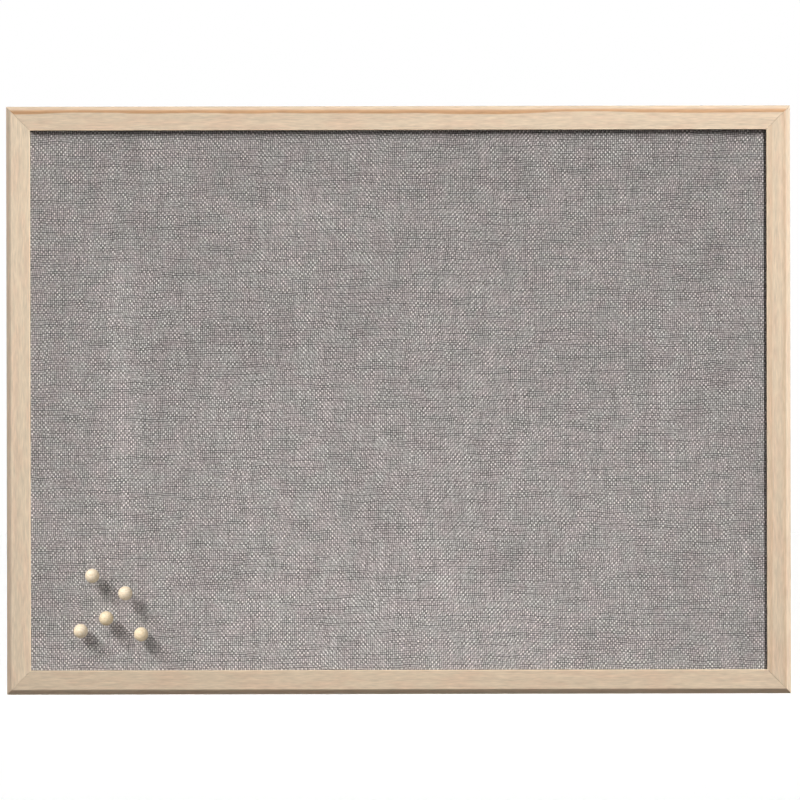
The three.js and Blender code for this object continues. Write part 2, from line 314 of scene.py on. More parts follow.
def copy_of(piece, name):
    """A copy with a mesh of its own."""
    copy = bpy.data.objects.new(name, piece.data.copy())
    copy.data.name = name
    bpy.context.scene.collection.objects.link(copy)
    return copy


def discard(piece):
    bpy.data.objects.remove(piece, do_unlink=True)


@contextmanager
def editing(piece):
    """Edit mode on one piece, with everything in it selected."""
    activate(piece)
    bpy.ops.object.mode_set(mode="EDIT")
    bpy.ops.mesh.select_all(action="SELECT")
    yield
    bpy.ops.object.mode_set(mode="OBJECT")


def choose(piece, kind, wanted):
    """Selects only the vertices, edges or faces that pass a test."""
    bpy.ops.mesh.select_mode(type=kind)
    bpy.ops.mesh.select_all(action="DESELECT")
    shape = bmesh.from_edit_mesh(piece.data)
    parts = {"VERT": shape.verts, "EDGE": shape.edges, "FACE": shape.faces}[kind]
    for part in parts:
        if wanted(part):
            part.select_set(True)
    bmesh.update_edit_mesh(piece.data)


def near(first, second):
    return abs(first - second) < CLOSE


def edge_middle(edge):
    return (edge.verts[0].co + edge.verts[1].co) / 2


def edge_runs_along_x(edge):
    span = edge.verts[1].co - edge.verts[0].co
    return near(span.y, 0) and near(span.z, 0)


def extrude(move):
    bpy.ops.mesh.extrude_region_move(TRANSFORM_OT_translate={"value": move})


def extrude_edges(move):
    bpy.ops.mesh.extrude_edges_move(TRANSFORM_OT_translate={"value": move})


def face_outwards():
    """Turns all the faces of the piece in edit mode outwards."""
    bpy.ops.mesh.select_all(action="SELECT")
    bpy.ops.mesh.normals_make_consistent(inside=False)


def apply_modifier(piece, kind, **settings):
    activate(piece)
    modifier = piece.modifiers.new(kind.title(), kind)
    for name, value in settings.items():
        setattr(modifier, name, value)
    bpy.ops.object.modifier_apply(modifier=modifier.name)


def carve(piece, cutter):
    """Cuts one piece out of another and throws the cutter away."""
    apply_modifier(piece, "BOOLEAN", operation="DIFFERENCE", solver="EXACT", object=cutter)
    discard(cutter)


def smooth(piece, degrees):
    activate(piece)
    bpy.ops.object.shade_smooth_by_angle(angle=math.radians(degrees))


def turned(name, stations, sides=32):
    """A round piece about the Y axis, extruded and resized from each (y, radius) to the next."""
    first_y, first_radius = stations[0]
    bpy.ops.mesh.primitive_circle_add(
        vertices=sides,
        radius=first_radius,
        fill_type="NGON",
        location=(0, first_y, 0),
        rotation=(QUARTER, 0, 0),
    )
    piece = settle(name)
    with editing(piece):
        for (from_y, from_radius), (to_y, to_radius) in pairwise(stations):
            extrude((0, to_y - from_y, 0))
            share = to_radius / from_radius
            bpy.ops.transform.resize(value=(share, 1, share), center_override=(0, to_y, 0))
        face_outwards()
    return piece


def mark(piece, name, vector_of):
    """Writes a vector for each vertex, worked out from its place, for a material to read."""
    marks = piece.data.attributes.new(name, "FLOAT_VECTOR", "POINT")
    for vertex, place in zip(piece.data.vertices, marks.data):
        place.vector = vector_of(vertex.co)


def half_width(node):
    low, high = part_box(node)
    return (high.x - low.x) / 2


def on_axis(node, y):
    """A place on the axis of a packed round piece that lies along Y."""
    low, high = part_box(node)
    return (low.x + high.x) / 2, y, (low.z + high.z) / 2


def finish(piece, material, body, node):
    """Gives a piece its material and its body, and hides the imported node it stands for."""
    piece.data.materials.clear()
    piece.data.materials.append(material)
    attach(piece, body)
    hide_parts(node)


def refinish(node_name, material):
    """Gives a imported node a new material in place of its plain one."""
    for place in frame["nodes"][node_name].material_slots:
        place.material = material


# Materials, written as expressions on sockets


class Term:
    """A value that varies over a surface. Arithmetic on it adds Math nodes."""

    def __init__(self, recipe, socket):
        self.recipe = recipe
        self.socket = socket

    def __add__(self, other):
        return self.recipe.math("ADD", self, other)

    def __radd__(self, other):
        return self.recipe.math("ADD", other, self)

    def __sub__(self, other):
        return self.recipe.math("SUBTRACT", self, other)

    def __rsub__(self, other):
        return self.recipe.math("SUBTRACT", other, self)

    def __mul__(self, other):
        return self.recipe.math("MULTIPLY", self, other)

    def __rmul__(self, other):
        return self.recipe.math("MULTIPLY", other, self)

    def __truediv__(self, other):
        return self.recipe.math("DIVIDE", self, other)

    def __rtruediv__(self, other):
        return self.recipe.math("DIVIDE", other, self)

    def __gt__(self, other):
        return self.recipe.math("GREATER_THAN", self, other)


class Recipe:
    """The node tree of one material or world."""

    def __init__(self, owner):
        self.owner = owner
        owner.use_nodes = True
        self.tree = owner.node_tree
        self.tree.nodes.clear()

    def node(self, kind, settings, sockets, output=0):
        """Adds a node and gives back one of its outputs, if it has any."""
        made = self.tree.nodes.new(kind)
        for name, value in settings.items():
            setattr(made, name, value)
        for key, value in sockets.items():
            if isinstance(value, Term):
                self.tree.links.new(value.socket, made.inputs[key])
            else:
                made.inputs[key].default_value = value
        return Term(self, made.outputs[output]) if made.outputs else None

    def math(self, operation, *values):
        return self.node("ShaderNodeMath", {"operation": operation}, dict(enumerate(values)))

    sin = partialmethod(math, "SINE")
    cos = partialmethod(math, "COSINE")
    root = partialmethod(math, "SQRT")
    floor = partialmethod(math, "FLOOR")
    fraction = partialmethod(math, "FRACT")
    size = partialmethod(math, "ABSOLUTE")
    larger = partialmethod(math, "MAXIMUM")

    def object_place(self):
        return self.node("ShaderNodeTexCoord", {}, {}, "Object")

    def attribute(self, name):
        return self.node("ShaderNodeAttribute", {"attribute_name": name}, {}, "Vector")

    def parts(self, vector):
        """The three numbers of a vector."""
        first = self.node("ShaderNodeSeparateXYZ", {}, {"Vector": vector})
        return [Term(self, output) for output in first.socket.node.outputs]

    def vector(self, x, y, z):
        return self.node("ShaderNodeCombineXYZ", {}, {"X": x, "Y": y, "Z": z})

    def grain(self, place, scales, detail=2.0, roughness=0.5):
        """Smooth noise at a place, so many times to the metre along each of its axes."""
        x, y, z = (part * scale for part, scale in zip(place, scales))
        return self.noise(x, y, z, detail, roughness)

    def noise(self, x, y, z, detail=2.0, roughness=0.5):
        """Smooth noise from 0 to 1 that varies over about one unit of each number."""
        sockets = {"Vector": self.vector(x, y, z), "Scale": 1.0}
        sockets |= {"Detail": detail, "Roughness": roughness}
        return self.node("ShaderNodeTexNoise", {"noise_dimensions": "3D"}, sockets)

    def dice(self, x, y):
        """A number from 0 to 1 of its own for each pair of whole numbers."""
        settings = {"noise_dimensions": "2D"}
        place = self.vector(x, y, 0)
        return self.node("ShaderNodeTexWhiteNoise", settings, {"Vector": place}, "Value")

    def ramp(self, value, low, high, to_low=0.0, to_high=1.0):
        """A smooth step from one level to another."""
        sockets = {"Value": value, "From Min": low, "From Max": high}
        sockets |= {"To Min": to_low, "To Max": to_high}
        return self.node("ShaderNodeMapRange", {"interpolation_type": "SMOOTHSTEP"}, sockets)

    def mix(self, share, first, second):
        """A colour between two colours."""
        factor_socket, first_socket, second_socket, result = 0, 6, 7, 2
        sockets = {factor_socket: share, first_socket: shade(first), second_socket: shade(second)}
        return self.node("ShaderNodeMix", {"data_type": "RGBA"}, sockets, result)

    def tone(self, paint_term, share):
        """A colour made lighter or darker by a number."""
        sockets = {"Vector": paint_term, "Scale": share}
        return self.node("ShaderNodeVectorMath", {"operation": "SCALE"}, sockets)

    def bump(self, height, distance, strength=1.0):
        sockets = {"Height": height, "Distance": distance, "Strength": strength}
        return self.node("ShaderNodeBump", {}, sockets)

    def surface(self, base, roughness, normal, specular=0.5, metallic=0.0):
        """Ends a material with the usual shader."""
        sockets = {"Base Color": base, "Roughness": roughness, "Normal": normal}
        sockets |= {"Specular IOR Level": specular, "Metallic": metallic}
        return self.end(self.node("ShaderNodeBsdfPrincipled", {}, sockets))

    def end(self, shader, kind="ShaderNodeOutputMaterial"):
        """Ends the recipe with a shader and gives back the material or world."""
        self.node(kind, {}, {"Surface": shader})
        return self.owner


def shade(value):
    """A colour as a socket takes it, or a term as it is."""
    if isinstance(value, Term):
        return value
    return (*value, 1)


def pine_material(timber):
    """Sawn pine: rings across the plank, fibres along it, warm patches, a painted highlight on the
    sight arris and painted shade on the sight wall.
    """
    recipe = Recipe(bpy.data.materials.new("pine"))
    along, years, late_share = recipe.parts(recipe.attribute("grain"))
    from_sight, from_front, tone = recipe.parts(recipe.attribute("section"))
    plank = (along, from_sight, from_front)

    wander = recipe.grain(plank, (6, 30, 30), 3.0) - 0.5
    year = recipe.fraction(years + wander * 0.35)
    rise = recipe.ramp(year, 0.45, 0.93)
    fall = 1 - recipe.ramp(year, 0.95, 1.0)
    late = rise * fall * late_share

    fibre = recipe.grain(plank, (90, 700, 700))
    streak = recipe.grain(plank, (40, 260, 260), 3.0)
    band = recipe.grain(plank, (3, 120, 120))
    patch = recipe.grain(plank, (24, 90, 90), 3.0)

    warm = recipe.mix(recipe.ramp(patch, 0.42, 0.66), timber.pale_wood, timber.pink_wood)
    heart = recipe.larger(1 - tone, 0) * 1.2
    wood = recipe.mix(recipe.larger(late, heart), warm, timber.late_wood)
    fine = 1 + (fibre - 0.5) * 0.45 + (streak - 0.5) * 0.3 + (band - 0.5) * 0.25

    # Painted highlight along the sight edge's rounded corner, and painted shade on the sight wall below
    # it
    at_sight = 1 - recipe.ramp(from_sight, 0.5 * MM, 1.3 * MM)
    at_front = 1 - recipe.ramp(from_front, 0.5 * MM, 1.3 * MM)
    rounded = at_sight * at_front
    painted_wall_shade = at_sight * recipe.ramp(from_front, 0.7 * MM, 1.6 * MM)
    level = fine * tone * (1 + rounded * 0.2) * (1 - painted_wall_shade * 0.5)
    rough = recipe.ramp(fibre, 0.2, 0.8, 0.5, 0.66) - late * 0.08
    relief = recipe.bump(fibre * 0.6 + late * 0.5, 0.05 * MM, 0.6)
    return recipe.surface(recipe.tone(wood, level), rough, relief, specular=0.3)


def cloth_material(cloth):
    """Crepe weave: yarns that pass over and under in short diagonal runs, with slubs and heather."""
    recipe = Recipe(bpy.data.materials.new("grey_fabric"))
    x, _, z = recipe.parts(recipe.object_place())
    crease, skew, _ = recipe.parts(recipe.attribute("pull"))

    sway_u = recipe.noise(x * 12, z * 60, 1.7) - 0.5
    sway_v = recipe.noise(x * 32, z * 12, 8.3) - 0.5
    u = x / cloth.warp_pitch + sway_u * 2.4
    v = z / cloth.weft_pitch + sway_v * 2.4
    column = recipe.floor(u)
    row = recipe.floor(v)

    # Tone and thickness of each yarn change along its length
    warp_tone = recipe.noise(column * 0.3, v * 0.045, 2.4)
    weft_tone = recipe.noise(u * 0.07, row * 0.731, 7.9)
    warp_slub = recipe.noise(column * 0.617, v * 0.11, 5.2, 1.0)
    weft_slub = recipe.noise(u * 0.11, row * 0.617, 3.6, 1.0)

    # Round yarns that rise and dip, in diagonals where the weave is pulled askew
    off_warp = recipe.fraction(u) * 2 - 1
    off_weft = recipe.fraction(v) * 2 - 1
    warp_share = off_warp / recipe.ramp(warp_slub, 0.3, 0.7, 0.8, 1.1)
    weft_share = off_weft / recipe.ramp(weft_slub, 0.3, 0.7, 0.8, 1.1)
    warp_round = recipe.root(recipe.larger(1 - warp_share * warp_share, 0))
    weft_round = recipe.root(recipe.larger(1 - weft_share * weft_share, 0))
    lean = 0.5 + skew * 0.36 + (recipe.noise(x * 32, z * 26, 9.4, 0.0) - 0.5) * 0.6
    step_right = recipe.cos((u - v) * math.pi)
    step_left = recipe.cos((u + v) * math.pi)
    lift = step_right * lean - step_left * (1 - lean)
    warp_height = warp_round + lift * 0.7
    weft_height = weft_round - lift * 0.7
    warp_over = warp_height > weft_height
    height = recipe.larger(warp_height, weft_height)

    # Colour: each yarn's own tone, pale and dark nubs, and painted shade in the depth between the yarns
    warp_level = recipe.ramp(warp_tone, 0.25, 0.75, 0.87, 1.13)
    weft_level = recipe.ramp(weft_tone, 0.25, 0.75, 1.05, 0.95)
    yarn_level = weft_level + (warp_level - weft_level) * warp_over
    beside = recipe.dice(column - 1, row) + recipe.dice(column + 1, row)
    beyond = recipe.dice(column, row - 1) + recipe.dice(column, row + 1)
    nub_level = 1 + (recipe.dice(column, row) - (beside + beyond) / 4) * 0.5
    yarn = recipe.mix(warp_over, cloth.dark_yarn, cloth.pale_yarn)
    fuzz = 1 + (recipe.noise(u * 3, v * 3, 4.4) - 0.5) * 0.5
    # Painted shade darkens the colour where the yarns sink below each other
    depth = recipe.ramp(height, 0.1, 1.4)
    woven = recipe.mix(depth, cloth.painted_gap_shade, recipe.tone(yarn, yarn_level * nub_level * fuzz))

    # Painted shadow in the gaps between neighbouring yarns, more open for short ways
    row_loose = recipe.noise(u * 0.06, recipe.floor(v + 0.5) * 0.83, 3.3, 1.0)
    column_loose = recipe.noise(recipe.floor(u + 0.5) * 0.83, v * 0.12, 6.7, 1.0)
    row_open = recipe.ramp(row_loose, 0.4, 0.7, 0.3, 0.75)
    column_open = recipe.ramp(column_loose, 0.4, 0.7, 0.15, 0.6)
    row_gap_shadow = recipe.ramp(recipe.size(off_weft), 0.3, 1.0) * row_open
    column_gap_shadow = recipe.ramp(recipe.size(off_warp), 0.3, 1.0) * column_open
    painted_gap_shadow = (1 - row_gap_shadow) * (1 - column_gap_shadow)

    # With the painted gap shadow, the cloth is made paler along the pressed creases, and the tone
    # drifts slowly
    cloud = recipe.noise(x * 16, z * 8, 3.1) - 0.5
    gap_shadow_and_paling = painted_gap_shadow * (1 + crease * 0.09 + cloud * 0.22)

    # Heathered patches lean to pink or to green
    heather = recipe.noise(x * 48, z * 48, 6.1)
    hue = recipe.mix(recipe.ramp(heather, 0.35, 0.65), (0.985, 1.01, 0.998), (1.022, 0.992, 0.995))
    sockets = {0: recipe.tone(woven, gap_shadow_and_paling), 1: hue}
    coloured = recipe.node("ShaderNodeVectorMath", {"operation": "MULTIPLY"}, sockets)
    relief = recipe.bump(height * painted_gap_shadow, 0.16 * MM, 0.7)
    return recipe.surface(coloured, 0.95, relief, specular=0.15)


def ball_material(pins):
    """Turned pale wood with close rings, fine pores and a thin lacquer."""
    recipe = Recipe(bpy.data.materials.new("ball_wood"))
    log = recipe.parts(recipe.attribute("grain"))
    ring_way = log[1]
    wander = recipe.grain(log, (60, 140, 140)) - 0.5
    year = recipe.fraction((ring_way + wander * (0.9 * MM)) / (1.9 * MM))
    late = recipe.ramp(year, 0.3, 0.9) * (1 - recipe.ramp(year, 0.9, 1.0))
    pore = recipe.grain(log, (200, 900, 900), 3.0)
    speckle = recipe.ramp(pore, 0.52, 0.68)
    mottle = recipe.grain(log, (380, 480, 480))
    kind = recipe.grain(log, (9, 9, 9), 1.0)
    plain = recipe.mix(recipe.ramp(kind, 0.4, 0.6), pins.pale_ball, pins.warm_ball)
    wood = recipe.mix(late * 0.35 + speckle * 0.3, plain, pins.dark_ball)
    turned_wood = recipe.tone(wood, 1 + (mottle - 0.5) * 0.5)
    rough = recipe.ramp(pore, 0.2, 0.8, 0.38, 0.5)
    return recipe.surface(turned_wood, rough, recipe.bump(pore, 0.04 * MM, 0.6), specular=0.4)


def metal_material(name, shine, roughness, scratch_way):
    """Bare or plated steel with cloudy plating and fine drawn scratches along one axis."""
    recipe = Recipe(bpy.data.materials.new(name))
    place = recipe.parts(recipe.object_place())
    across, along = 6000, 250
    scales = [across, across, across]
    scales[scratch_way] = along
    scratch = recipe.grain(place, scales)
    cloud = recipe.grain(place, (420, 420, 420), 3.0)
    dark_shine = [channel * 0.78 for channel in shine]
    metal = recipe.mix(recipe.ramp(cloud, 0.35, 0.68), dark_shine, shine)
    rough = recipe.ramp(cloud, 0.3, 0.7, roughness + 0.12, roughness) + (scratch - 0.5) * 0.16
    return recipe.surface(metal, rough, recipe.bump(scratch, 0.01 * MM, 0.5), metallic=1.0)


def hardboard_material(panel):
    """Pressed fibre with the print of a wire screen."""
    recipe = Recipe(bpy.data.materials.new("hardboard"))
    place = recipe.parts(recipe.object_place())
    turn = 2 * math.pi / panel.screen_pitch
    screen = recipe.sin(place[X_AXIS] * turn) * recipe.sin(place[Z_AXIS] * turn)
    fibre = recipe.grain(place, (260, 260, 420), 4.0, 0.6)
    blotch = recipe.grain(place, (22, 22, 22), 3.0)
    dark = recipe.ramp(fibre, 0.4, 0.68) * 0.75 + recipe.ramp(screen, -1.0, 0.2, 0.3, 0.0)
    board = recipe.mix(dark, panel.hardboard, panel.hardboard_dark)
    rough = recipe.ramp(fibre, 0.2, 0.8, 0.6, 0.82)
    relief = recipe.bump(screen * 0.5 + fibre, 0.12 * MM, 0.8)
    return recipe.surface(recipe.tone(board, 1 + (blotch - 0.5) * 0.4), rough, relief, specular=0.3)


def softboard_material(panel):
    """Loose felted wood fibre."""
    recipe = Recipe(bpy.data.materials.new("softboard"))
    place = recipe.parts(recipe.object_place())
    fibre = recipe.grain(place, (900, 500, 700), 4.0, 0.65)
    clump = recipe.grain(place, (140, 140, 140), 3.0)
    share = recipe.ramp(fibre, 0.35, 0.7) * 0.7 + recipe.ramp(clump, 0.5, 0.75) * 0.3
    board = recipe.mix(share, panel.softboard, panel.softboard_dark)
    return recipe.surface(board, 0.95, recipe.bump(fibre, 0.3 * MM), specular=0.1)


# Pine rails


def plane_rail(rail_length, timber):
    """A mitred rail lying along X, with its outer edge at z = 0 and its back at the wall plane."""
    low = Vector((-rail_length / 2, FRONT, -RAIL_FACE))
    high = Vector((rail_length / 2, BACK, 0))
    rail = new_block("rail_blank", low, high)
    lip_back = FRONT + timber.lip_depth
    rebate_wall = timber.rebate_width - RAIL_FACE

    with editing(rail):
        choose(rail, "EDGE", lambda edge: is_long_edge(edge, FRONT, 0))
        bpy.ops.mesh.bevel(offset=timber.chamfer, segments=1, affect="EDGES")

    rebate_low = Vector((-rail_length, lip_back, -2 * RAIL_FACE))
    rebate_high = Vector((rail_length, BACK + OVERCUT, rebate_wall))
    carve(rail, new_block("rebate_plane", rebate_low, rebate_high))

    with editing(rail):
        choose(
            rail,
            "EDGE",
            lambda edge: edge_runs_along_x(edge) and not is_long_edge(edge, lip_back, rebate_wall),
        )
        bpy.ops.mesh.bevel(offset=timber.arris_round, segments=4, affect="EDGES")
        for end in (-1, 1):
            bpy.ops.mesh.select_all(action="SELECT")
            bpy.ops.mesh.bisect(
                plane_co=(end * (rail_length / 2 - MITRE_SETBACK), 0, 0),
                plane_no=(end, 0, -1),
                use_fill=True,
                clear_outer=True,
            )
    return rail


def is_long_edge(edge, y, z):
    middle = edge_middle(edge)
    return edge_runs_along_x(edge) and near(middle.y, y) and near(middle.z, z)


def faces_back(face):
    mostly = 0.9
    return face.normal.y > mostly


def fixing_cutter(side, timber):
    """Copies of the nails, points and screws that enter one rail, fattened to leave room."""
    fixings = ("corner_nail_", "retaining_point_", "hanger_screw_")
    names = [name for name in frame["nodes"] if name.startswith(fixings) and side.name in name]
    cutters = []
    for name in names:
        cutter = copy_of(frame["nodes"][name], "pocket_" + name)
        with editing(cutter):
            bpy.ops.mesh.remove_doubles(threshold=MERGE)
            if name.startswith("corner_nail_"):
                choose(cutter, "FACE", faces_back)
                bpy.ops.transform.translate(value=(0, OVERCUT, 0))
                bpy.ops.mesh.select_all(action="SELECT")
            bpy.ops.transform.shrink_fatten(value=timber.pocket_gap, use_even_offset=True)
        cutters.append(cutter)
    bpy.ops.object.select_all(action="DESELECT")
    for cutter in cutters:
        cutter.select_set(True)
    bpy.context.view_layer.objects.active = cutters[0]
    bpy.ops.object.join()
    return cutters[0]


def mark_grain(rail, side, timber):
    """Marks a rail's grain, which runs along it with rings turned as its plank was cut."""
    upright = Matrix.Translation((side.x, 0, side.z)) @ Matrix.Rotation(side.turn, 4, "Y")
    to_plank = upright.inverted()
    ring_turn = math.radians(side.ring_turn)
    cos, sin = math.cos(ring_turn), math.sin(ring_turn)
    # Any number that differs between the rails, so that each starts elsewhere in the log
    plank_start = side.turn + ring_turn

    def grain(place):
        plank = to_plank @ place
        inward, depth = -plank.z, plank.y - FRONT
        ring_way = (inward - timber.chamfer) * cos + depth * sin
        return plank.x + plank_start, side.arris_year + ring_way / side.ring_width, side.late_share

    def section(place):
        plank = to_plank @ place
        return RAIL_FACE + plank.z, plank.y - FRONT, side.tone

    mark(rail, "grain", grain)
    mark(rail, "section", section)


class Step:
    """What the operators share: each makes its pieces from the board's settings."""

    def execute(self, context):
        self.make(context.scene.pin_board)
        return {"FINISHED"}


class PINBOARD_OT_rails(Step, bpy.types.Operator):
    """Models the four mitred rails"""

    bl_idname = "pin_board.rails"
    bl_label = "Pine rails"

    def make(self, board):
        timber = board.timber
        pine = pine_material(timber)
        blanks = {}
        for rail_length in (BOARD_WIDTH, BOARD_HEIGHT):
            blanks[rail_length] = plane_rail(rail_length, timber)
        for side in SIDES:
            node = "rail_" + side.name
            rail = copy_of(blanks[side.length], "pine_" + node)
            put(rail, (side.x, 0, side.z), (0, side.turn, 0))
            carve(rail, fixing_cutter(side, timber))
            smooth(rail, degrees=35)
            apply_modifier(rail, "WEIGHTED_NORMAL", keep_sharp=True)
            mark_grain(rail, side, timber)
            finish(rail, pine, "board", node)
        for blank in blanks.values():
            discard(blank)


# Cloth


class Crease(NamedTuple):
    """A pressed line in the cloth, which bows and fades towards its ends."""

    middle: float
    reach_low: float
    reach_high: float
    bow: float
    share: float


LEVEL_CREASES = (
    Crease(-57 * MM, -370 * MM, 370 * MM, 32 * MM, 0.6),
    Crease(-455 * MM, -370 * MM, 370 * MM, -14 * MM, 0.3),
)
UPRIGHT_CREASES = (
    Crease(-282 * MM, -410 * MM, -70 * MM, 4 * MM, 1.6),
    Crease(279 * MM, -410 * MM, -70 * MM, -4 * MM, 1.15),
)


def bell(offset, width):
    return math.exp(-0.5 * (offset / width) ** 2)


def crease_rise(along, across, crease, cloth):
    """How far one crease lifts the cloth at a place along and across it."""
    half = (crease.reach_high - crease.reach_low) / 2
    travel = (along - (crease.reach_high + crease.reach_low) / 2) / half
    if abs(travel) >= 1:
        return 0
    line = crease.middle + crease.bow * travel * travel
    fade = math.cos(travel * QUARTER) ** 0.5
    return crease.share * fade * bell(across - line, cloth.crease_width)


def creased(x, z, cloth):
    """How strongly the cloth is creased at a place on its front."""
    level = sum(crease_rise(x, z, crease, cloth) for crease in LEVEL_CREASES)
    upright = sum(crease_rise(z, x, crease, cloth) for crease in UPRIGHT_CREASES)
    return level + upright


def skewed(x, cloth):
    """Which way the weave is pulled askew: left of the middle -1, right of it 1, at the sides 0."""
    offset = x - cloth.skew_middle
    return math.tanh(offset / cloth.skew_turn) * bell(offset, cloth.skew_reach)


def cloth_rise(x, z, cloth):
    """How far the cloth stands proud of the core at a place on its front."""
    # Radians to the metre of the swell and of its slow sway, and how far that shifts it
    swell_x, swell_z, sway_x, sway_z, shift = 31, 27, 9, 13, 2
    wave_x = math.sin(x * swell_x + shift * math.sin(z * sway_z))
    wave_z = math.sin(z * swell_z + shift * math.sin(x * sway_x))
    swell = (1 + wave_x * wave_z) / 2
    flat_rim, rim_rise = 12 * MM, 30 * MM
    edge_x = min(x - CLOTH_LOW.x, CLOTH_HIGH.x - x)
    edge_z = min(z - CLOTH_LOW.z, CLOTH_HIGH.z - z)
    held = min(1, max(0, min(edge_x, edge_z) - flat_rim) / rim_rise)
    return held * (cloth.crease_height * creased(x, z, cloth) + cloth.wave_height * swell)


def stretched_cloth(cloth):
    """A grid over the core's front, folded round its edges and turned in behind it."""
    half = cloth.thickness / 2
    width = CLOTH_HIGH.x - CLOTH_LOW.x - cloth.thickness
    height = CLOTH_HIGH.z - CLOTH_LOW.z - cloth.thickness
    front = CLOTH_LOW.y + half
    depth = CLOTH_HIGH.y - CLOTH_LOW.y - cloth.thickness
    bpy.ops.mesh.primitive_grid_add(
        x_subdivisions=round(width / cloth.cell),
        y_subdivisions=round(height / cloth.cell),
        size=1,
        location=(MIDDLE_X, front, MIDDLE_Z),
        rotation=(QUARTER, 0, 0),
    )
    bpy.context.active_object.scale = (width, height, 1)
    sheet = settle("woven_cloth")
    with editing(sheet):
        choose(sheet, "EDGE", lambda edge: edge.is_boundary)
        extrude_edges((0, depth, 0))
        extrude_edges((0, 0, 0))
        share = (1 - 2 * cloth.turn_in / width, 1, 1 - 2 * cloth.turn_in / height)
        middle = (MIDDLE_X, front + depth, MIDDLE_Z)
        bpy.ops.transform.resize(value=share, center_override=middle)
        choose(sheet, "EDGE", lambda edge: is_fold(edge, width, height, (front, front + depth)))
        bpy.ops.mesh.bevel(offset=cloth.fold_round, segments=3, affect="EDGES")
        face_outwards()
    for vertex in sheet.data.vertices:
        if near(vertex.co.y, front):
            vertex.co.y -= cloth_rise(vertex.co.x, vertex.co.z, cloth)
    apply_modifier(sheet, "SOLIDIFY", thickness=cloth.thickness, offset=0)
    return sheet


def is_fold(edge, width, height, planes):
    """Whether an edge runs round the panel's rim on one of its two folded planes."""
    ends = [vertex.co for vertex in edge.verts]
    on_side = all(near(abs(end.x - MIDDLE_X), width / 2) for end in ends)
    on_end = all(near(abs(end.z - MIDDLE_Z), height / 2) for end in ends)
    return (on_side or on_end) and any(all(near(end.y, y) for end in ends) for y in planes)


def needle_hole(number):
    """A cutter for the hole that a needle makes in the cloth."""
    node = f"pin_needle_{number}"
    play, overreach = 0.2 * MM, 5 * MM
    radius = half_width(node) + play
    stations = [(CLOTH_LOW.y - overreach, radius), (CORE_FRONT, radius)]
    return put(turned("needle_hole", stations, sides=16), on_axis(node, 0))


class PINBOARD_OT_cloth(Step, bpy.types.Operator):
    """Stretches the woven cloth over the core"""

    bl_idname = "pin_board.cloth"
    bl_label = "Woven cloth"

    def make(self, board):
        cloth = board.cloth
        sheet = stretched_cloth(cloth)
        for number in PIN_NUMBERS:
            carve(sheet, needle_hole(number))
        smooth(sheet, degrees=40)
        mark(sheet, "pull", lambda place: (creased(place.x, place.z, cloth), skewed(place.x, cloth), 0))
        finish(sheet, cloth_material(cloth), "board", "fabric_cover")


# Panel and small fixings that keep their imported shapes


class PINBOARD_OT_panel(Step, bpy.types.Operator):
    """Finishes the softboard core and the hardboard back"""

    bl_idname = "pin_board.panel"
    bl_label = "Core and back"

    def make(self, board):
        panel = board.panel
        refinish("pinning_core", softboard_material(panel))
        refinish("back_panel", hardboard_material(panel))


class PINBOARD_OT_fixings(Step, bpy.types.Operator):
    """Finishes the corner nails and the retaining points"""

    bl_idname = "pin_board.fixings"
    bl_label = "Nails and points"

    def make(self, board):
        shine = board.hangers.steel
        steel = metal_material("plain_steel", shine, roughness=0.34, scratch_way=X_AXIS)
        for name in frame["nodes"]:
            if name.startswith(("corner_nail_", "retaining_point_")):
                refinish(name, steel)


# Pins


def socketed_ball(pins):
    """A ball about the origin, with a socket for its needle."""
    radius = half_width("pin_head_1")
    segments, rings = 48, 30
    bpy.ops.mesh.primitive_uv_sphere_add(
        segments=segments, ring_count=rings, radius=radius, rotation=(QUARTER, 0, 0)
    )
    ball = settle("ball_blank")
    rim = radius * math.cos(math.pi / rings) - MERGE
    with editing(ball):
        choose(ball, "FACE", lambda face: all(vertex.co.y > rim for vertex in face.verts))
        extrude((0, -pins.socket_depth, 0))
        floor = (0, radius - pins.socket_depth, 0)
        bpy.ops.transform.resize(value=(1, 0, 1), center_override=floor)
        face_outwards()
    smooth(ball, degrees=40)
    return ball


def drawn_needle(pins):
    """A needle along Y, its blunt end at y = 0."""
    low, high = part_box("pin_needle_1")
    radius = half_width("pin_needle_1")
    reach = high.y - low.y
    shoulder = 0.15 * MM
    waist, tip = 0.6 * radius, 0.04 * radius
    stations = [
        (0, radius - shoulder),
        (shoulder, radius),
        (reach - pins.needle_point, radius),
        (reach - pins.needle_point / 2, waist),
        (reach, tip),
    ]
    needle = turned("needle_blank", stations, sides=24)
    smooth(needle, degrees=40)
    return needle


class PINBOARD_OT_pin_heads(Step, bpy.types.Operator):
    """Turns the five wooden balls"""

    bl_idname = "pin_board.pin_heads"
    bl_label = "Ball heads"

    def make(self, board):
        wood = ball_material(board.pins)
        blank = socketed_ball(board.pins)
        # How far one ball's place in the log is turned and moved from the next one's
        spin, tilt, move = 2.4, 0.7, Vector((0.31, 0.23, 0.17))
        for number in PIN_NUMBERS:
            head = copy_of(blank, f"ball_head_{number}")
            low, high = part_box(f"pin_head_{number}")
            log_turn = Matrix.Rotation(number * spin, 3, "Y") @ Matrix.Rotation(number * tilt, 3, "X")
            mark(head, "grain", lambda place: log_turn @ place + move * number)
            put(head, (low + high) / 2)
            finish(head, wood, f"pin_{number}", f"pin_head_{number}")
        discard(blank)


